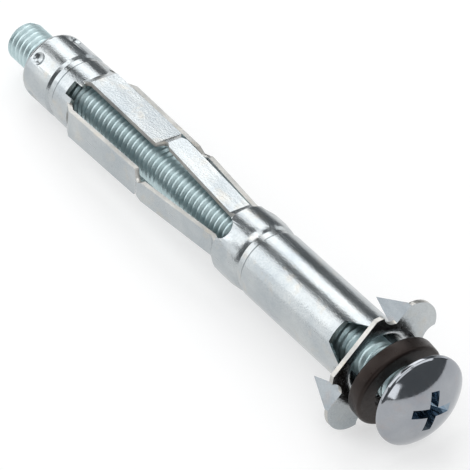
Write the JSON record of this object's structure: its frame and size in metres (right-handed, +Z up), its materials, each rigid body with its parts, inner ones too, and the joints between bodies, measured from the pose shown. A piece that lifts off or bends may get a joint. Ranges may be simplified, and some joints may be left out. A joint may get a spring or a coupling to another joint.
{
  "type": "cavity wall anchor",
  "caption": "Hollow-wall anchor: a slotted zinc-plated sleeve with folding legs and a clawed flange, and a domed cross-recess machine screw with a dark plastic washer",
  "frame": {"origin": "on the surface that the anchor lies on, under the middle of its bounding box", "axes": "+X along the anchor towards the screw's head, +Z up, +Y to the left of someone looking from the far end to the head; the anchor's own axis rises by 1.762 degrees towards the head"},
  "size_m": [0.0966, 0.0172, 0.0157],
  "materials": {
    "zinc_sheet": "bright zinc plate on sheet steel, blue-grey, lightly grained",
    "nut_steel": "zinc-plated steel",
    "dark_plastic": "moulded very dark brown-black plastic, slightly glossy",
    "screw_steel": "bright zinc plate on steel, smooth on the head"
  },
  "bodies": {
    "sleeve": {"sleeve": "zinc_sheet", "nut": "nut_steel"},
    "washer": {"washer": "dark_plastic"},
    "screw": {"screw": "screw_steel"}
  },
  "joints": [
    {"name": "screw_turn", "type": "hinge", "parent": "sleeve", "child": "washer", "pos_m": [0.04265, 0, 0.00798], "axis": [0.9995, 0, 0.0307], "range_deg": [-937, 4321]},
    {"name": "screw_travel", "type": "slide", "parent": "washer", "child": "screw", "axis": [0.9995, 0, 0.0307], "range_m": [-0.0026, 0.012]}
  ],
  "couplings": [
    {"joint": "screw_turn", "follows": "screw_travel", "rad_per_m": 6283.2}
  ]
}
